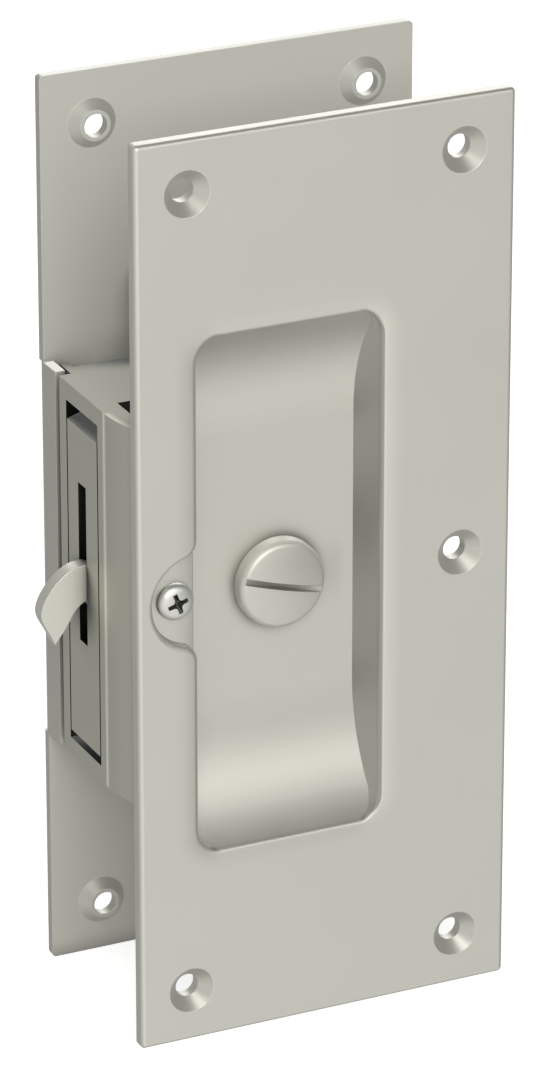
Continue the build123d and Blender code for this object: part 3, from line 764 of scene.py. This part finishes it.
coin = new_piece("coin_turn_detail", turned_mesh("coin_turn_detail", knob_profile(), coin_axis))
coin.data.materials.append(coin_nickel)
for cutter_mesh in (saw_disc(), socket_bar()):
    cut_with(coin, cutter_mesh, slot_nickel)
smooth_by_angle(coin.data)
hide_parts("coin_turn")
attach(coin, "turn")
print("coin turn faces:", len(coin.data.polygons), "radius in mm:", round(coin_radius / MM, 2))

# %% [markdown]
# ## A thread that follows a helix
#
# The thread is a ridge that climbs round the shank. That is a rule, so Geometry Nodes make it: a
# spiral curve with a small profile swept along it. The tree's inputs are the sizes that a screw table
# gives, so another screw needs only other numbers.

# %% A thread that follows a helix
def named_tree(name, inputs):
    """A Geometry Nodes tree with named inputs, and a way to reach each of them."""
    tree = bpy.data.node_groups.new(name, "GeometryNodeTree")
    tree.interface.new_socket("Geometry", in_out="INPUT", socket_type="NodeSocketGeometry")
    for label, kind in inputs.items():
        tree.interface.new_socket(label, in_out="INPUT", socket_type="NodeSocket" + kind)
    tree.interface.new_socket("Geometry", in_out="OUTPUT", socket_type="NodeSocketGeometry")
    given = Wire.node(tree, "NodeGroupInput")
    return tree, {socket.name: Wire(tree, socket) for socket in given.outputs if socket.name}


def geometry(tree, kind, sockets, settings=None):
    """A geometry node, as a wire from its first output."""
    return Wire(tree, Wire.node(tree, kind, settings, sockets).outputs[0])


def end_tree(tree, shape, finish):
    """Realizes the instances, sets the finish and closes the tree."""
    whole = geometry(tree, "GeometryNodeRealizeInstances", {"Geometry": shape})
    dressed = geometry(tree, "GeometryNodeSetMaterial", {"Geometry": whole, "Material": finish})
    Wire.node(tree, "NodeGroupOutput", None, {"Geometry": dressed})


def grow(piece, tree, values):
    """Runs a tree on a piece with the values given, and keeps the result as a plain mesh."""
    modifier = piece.modifiers.new(tree.name, "NODES")
    modifier.node_group = tree
    for item in tree.interface.items_tree:
        if item.in_out == "INPUT" and item.name in values:
            modifier[item.identifier] = values[item.name]
    grown = plain_mesh(piece)
    piece.modifiers.remove(modifier)
    piece.data = grown


THREAD_PITCH = 0.9 * MM
RIDGE_RADIUS = 0.26 * MM
PLAIN_NECK = 1.2 * MM
HELIX_STEPS = 28
RIDGE_SIDES = 6
Z_TO_Y = (-math.pi / 2, 0, 0)

thread, given = named_tree("screw_thread", {
    "Turns": "Float", "Length": "Float", "Core radius": "Float", "Ridge": "Float", "Start": "Vector",
    "Finish": "Material",
})
helix = geometry(thread, "GeometryNodeCurveSpiral", {
    "Resolution": HELIX_STEPS, "Rotations": given["Turns"], "Start Radius": given["Core radius"],
    "End Radius": given["Core radius"], "Height": given["Length"],
})
upright = geometry(thread, "GeometryNodeSetCurveNormal", {"Curve": helix}, {"mode": "Z_UP"})
ridge = geometry(thread, "GeometryNodeCurvePrimitiveCircle", {
    "Resolution": RIDGE_SIDES, "Radius": given["Ridge"],
})
swept = geometry(thread, "GeometryNodeCurveToMesh", {
    "Curve": upright, "Profile Curve": ridge, "Fill Caps": True,
})
along_y = geometry(thread, "GeometryNodeTransform", {
    "Geometry": swept, "Translation": given["Start"], "Rotation": Z_TO_Y,
})
end_tree(thread, along_y, given["Finish"])

thread_start = seat + PLAIN_NECK
thread_length = high.y - CORE_RADIUS - thread_start
screw_thread = new_piece("case_screw_thread", bpy.data.meshes.new("case_screw_thread"))
grow(screw_thread, thread, {
    "Turns": thread_length / THREAD_PITCH, "Length": thread_length, "Core radius": CORE_RADIUS,
    "Ridge": RIDGE_RADIUS, "Start": (screw_axis.x, thread_start, screw_axis.z), "Finish": bright_nickel,
})
smooth_by_angle(screw_thread.data)
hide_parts("case_screw")
for piece in (screw, screw_thread):
    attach(piece, "front")
print("thread turns:", round(thread_length / THREAD_PITCH, 1), "faces:", len(screw_thread.data.polygons))

# %% [markdown]
# ## Rivet heads on the lock case
#
# Four posts and the hook's pivot hold the two cheeks of the case together. Their ends are peened over
# into low round heads. They are all alike, so Geometry Nodes put one head on each place, and the
# places are read from the posts themselves.

# %% Rivet heads on the lock case
HEAD_OVER_POST = 1.35
RIVET_HEIGHT = 0.45 * MM
RIVET_SIDES = 24
RIVET_RINGS = 12


def lumps(node):
    """Lowest and highest corners of each separate lump in a part, in a fixed order."""
    shape = bmesh.new()
    shape.from_mesh(frame["nodes"][node].data)
    bmesh.ops.remove_doubles(shape, verts=shape.verts, dist=MERGE_DISTANCE)
    waiting = set(shape.verts)
    boxes = []
    while waiting:
        edge_of_lump = [waiting.pop()]
        found = []
        while edge_of_lump:
            vert = edge_of_lump.pop()
            found.append(vert.co.copy())
            for link in vert.link_edges:
                other = link.other_vert(vert)
                if other in waiting:
                    waiting.remove(other)
                    edge_of_lump.append(other)
        by_axis = list(zip(*found))
        boxes.append([Vector(pick(values) for values in by_axis) for pick in (min, max)])
    shape.free()
    return sorted(boxes, key=lambda corners: tuple(corners[0]))


posts = lumps("case_spacers") + lumps("hook_pivot_pin")
post_ends = []
for post_low, post_high in posts:
    middle = (post_low + post_high) / 2
    post_ends += [(middle.x, post_low.y, middle.z), (middle.x, post_high.y, middle.z)]
post_radius = min((post_high.x - post_low.x) / 2 for post_low, post_high in posts)

rivets, given = named_tree("rivet_heads", {"Radius": "Float", "Height": "Float", "Finish": "Material"})
ball = geometry(rivets, "GeometryNodeMeshUVSphere", {
    "Segments": RIVET_SIDES, "Rings": RIVET_RINGS, "Radius": 1.0,
})
flattening = geometry(rivets, "ShaderNodeCombineXYZ", {
    "X": given["Radius"], "Y": given["Height"], "Z": given["Radius"],
})
head = geometry(rivets, "GeometryNodeTransform", {"Geometry": ball, "Scale": flattening})
smooth_head = geometry(rivets, "GeometryNodeSetShadeSmooth", {"Geometry": head})
placed = geometry(rivets, "GeometryNodeInstanceOnPoints", {
    "Points": given["Geometry"], "Instance": smooth_head,
})
end_tree(rivets, placed, given["Finish"])

rivet_mesh = bpy.data.meshes.new("case_rivet_heads")
rivet_mesh.from_pydata(post_ends, [], [])
case_rivets = new_piece("case_rivet_heads", rivet_mesh)
grow(case_rivets, rivets, {
    "Radius": post_radius * HEAD_OVER_POST, "Height": RIVET_HEIGHT, "Finish": shaded_case_steel,
})
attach(case_rivets, "front")
print("rivet heads:", len(post_ends), "radius in mm:", round(post_radius * HEAD_OVER_POST / MM, 2))

# %% [markdown]
# ## The camera
#
# The picture is tall and narrow, and the lock is seen from the upper left, past its door edge, with a
# long lens that keeps the two plates nearly parallel. The place is worked out from two angles, a
# distance and the point looked at.

# %% The camera
VIEW_ROUND = math.radians(-25.245)
VIEW_UP = math.radians(23.271)
VIEW_DISTANCE = 1065.2 * MM
VIEW_TARGET = Vector((0.996, 20.0, -2.059)) * MM
FILM = 36.0
LENS = 205.3

back = Vector((
    math.sin(VIEW_ROUND) * math.cos(VIEW_UP),
    -math.cos(VIEW_ROUND) * math.cos(VIEW_UP),
    math.sin(VIEW_UP),
))
camera_data = bpy.data.cameras.new("photo_camera")
camera_data.sensor_fit = "AUTO"
camera_data.sensor_width = FILM
camera_data.lens = LENS
camera = bpy.data.objects.new("photo_camera", camera_data)
camera.location = VIEW_TARGET + back * VIEW_DISTANCE
camera.rotation_euler = back.to_track_quat("Z", "Y").to_euler()
scene.collection.objects.link(camera)
scene.camera = camera
print("camera at", [round(value, 3) for value in camera.location])

# %% [markdown]
# ## The light tent
#
# Metal shows what stands round it, so it is lit in a tent of cloth. The tent is the world: pure white
# where the camera looks, and for the metal a dim cloth with soft bright panels and one dark canopy, so
# that each face gets a tone of its own. A panel is the agreement of a ray with the panel's direction,
# raised to a power that sets how sharp it is. The plates, the housing and the steel parts are left out
# of reflections, so that the cups mirror the tent and not their own walls.

# %% The light tent
WHITE = (1, 1, 1, 1)
BLACK = (0, 0, 0, 1)
TENT_CLOTH = 0.30
ROOM_LIGHT = 0.40
# Each panel has a direction, a gain and a sharpness.
TENT_PANELS = {
    "low front panel": (Vector((0.39, -0.58, -0.71)), 0.92, 10.0),
    "low left panel": (Vector((-0.35, -0.84, -0.40)), 1.20, 5.0),
    "low rear panel": (Vector((0.40, 0.90, -0.20)), 0.70, 6.0),
    "left panel": (Vector((-0.95, 0.10, -0.25)), 0.47, 3.5),
    "front strip": (Vector((0.39, -0.81, 0.44)), 2.80, 44.0),
    "rear strip": (Vector((0.40, 0.82, 0.40)), 1.10, 24.0),
    "dark canopy": (Vector((0.20, -0.10, 0.97)), -0.32, 4.0),
}
NOT_MIRRORED = ("front_plate", "rear_plate", "front_housing")


def seen_rays(tree):
    """Camera rays, and all rays that should meet the pale tent: camera, reflections and glass."""
    path = Wire.node(tree, "ShaderNodeLightPath")
    camera_ray = Wire(tree, path.outputs["Is Camera Ray"])
    glossy_ray = Wire(tree, path.outputs["Is Glossy Ray"])
    glass_ray = Wire(tree, path.outputs["Is Transmission Ray"])
    return camera_ray, (camera_ray + glossy_ray + glass_ray).at_most(1.0)


def white_light(tree, strength):
    """A white background of the given strength, as a wire."""
    sockets = {"Color": WHITE, "Strength": strength}
    return Wire(tree, Wire.node(tree, "ShaderNodeBackground", None, sockets).outputs[0])


world = bpy.data.worlds.new("light_tent")
scene.world = world
world.use_nodes = True
sky = world.node_tree
sky.nodes.clear()
camera_ray, seen = seen_rays(sky)
direction = Wire(sky, Wire.node(sky, "ShaderNodeTexCoord").outputs["Generated"])
across, away, up = (along(sky, direction, axis) for axis in "XYZ")
tent = TENT_CLOTH
for towards, gain, sharpness in TENT_PANELS.values():
    towards = towards.normalized()
    aim = across * towards.x + away * towards.y + up * towards.z
    tent = tent + gain * aim.at_least(0.0) ** sharpness
tent = camera_ray + (1.0 - camera_ray) * tent.at_least(0.0)
mixed = Wire.node(sky, "ShaderNodeMixShader", None, {
    0: seen, 1: white_light(sky, ROOM_LIGHT), 2: white_light(sky, tent),
})
sky_output = Wire.node(sky, "ShaderNodeOutputWorld")
sky.links.new(mixed.outputs[0], sky_output.inputs["Surface"])

for part in frame["record"]["subparts"]:
    if part["material_slot"] == "plated_steel" or part["node"] in NOT_MIRRORED:
        frame["nodes"][part["node"]].visible_glossy = False
print("tent panels:", len(TENT_PANELS))

# %% [markdown]
# ## The pale floor
#
# The lock stands on a sheet of pale paper. It is a little self-lit for the rays that meet the tent, so it
# turns white without more light on the lock, and still takes the lock's shadow.

# %% The pale floor
FLOOR_RADIUS = 4.0
FLOOR_SIDES = 64
FLOOR_TONE = (0.62, 0.62, 0.61, 1.0)
FLOOR_GLOW = (0.70, 0.70, 0.70, 1)
PAPER_ROUGHNESS = 0.9

sheet = bmesh.new()
bmesh.ops.create_circle(sheet, cap_ends=True, segments=FLOOR_SIDES, radius=FLOOR_RADIUS)
bmesh.ops.translate(sheet, verts=sheet.verts, vec=(0, 0, cad_box[0][2]))
floor = new_piece("pale_floor", kept_mesh("pale_floor", sheet))
floor.visible_glossy = False

paper, paper_tree, paper_shader, _ = new_sheet("pale_paper")
paper_shader.inputs["Roughness"].default_value = PAPER_ROUGHNESS
paper_shader.inputs["Base Color"].default_value = FLOOR_TONE
glow = blend(paper_tree, seen_rays(paper_tree)[1], BLACK, FLOOR_GLOW)
paper_tree.links.new(glow.socket, paper_shader.inputs["Emission Color"])
paper_shader.inputs["Emission Strength"].default_value = 1.0
floor.data.materials.append(paper)
print("floor at", cad_box[0][2])

# %% [markdown]
# ## Lamps
#
# One very large soft box hangs over the camera, so the light is even and its shadows fall behind the
# lock. A weak one at the upper left lifts the top edges, and one from behind keeps the far side
# readable.

# %% Lamps
# Each lamp has a direction, a distance and a side in metres, and a power in watts.
LAMPS = {
    "key_soft_box": (Vector((-0.25, -0.80, 0.52)), 1.2, 0.80, 10.0),
    "left_top_soft_box": (Vector((-0.55, 0.40, 0.72)), 1.2, 0.70, 1.5),
    "rear_soft_box": (Vector((0.35, 0.85, 0.45)), 1.3, 1.00, 4.5),
}
for name, (towards, distance, side, power) in LAMPS.items():
    lamp = bpy.data.lights.new(name, "AREA")
    lamp.size = side
    lamp.energy = power
    holder = new_piece(name, lamp)
    holder.location = towards.normalized() * distance
    holder.rotation_euler = towards.to_track_quat("Z", "Y").to_euler()
print("lamps:", len(LAMPS))
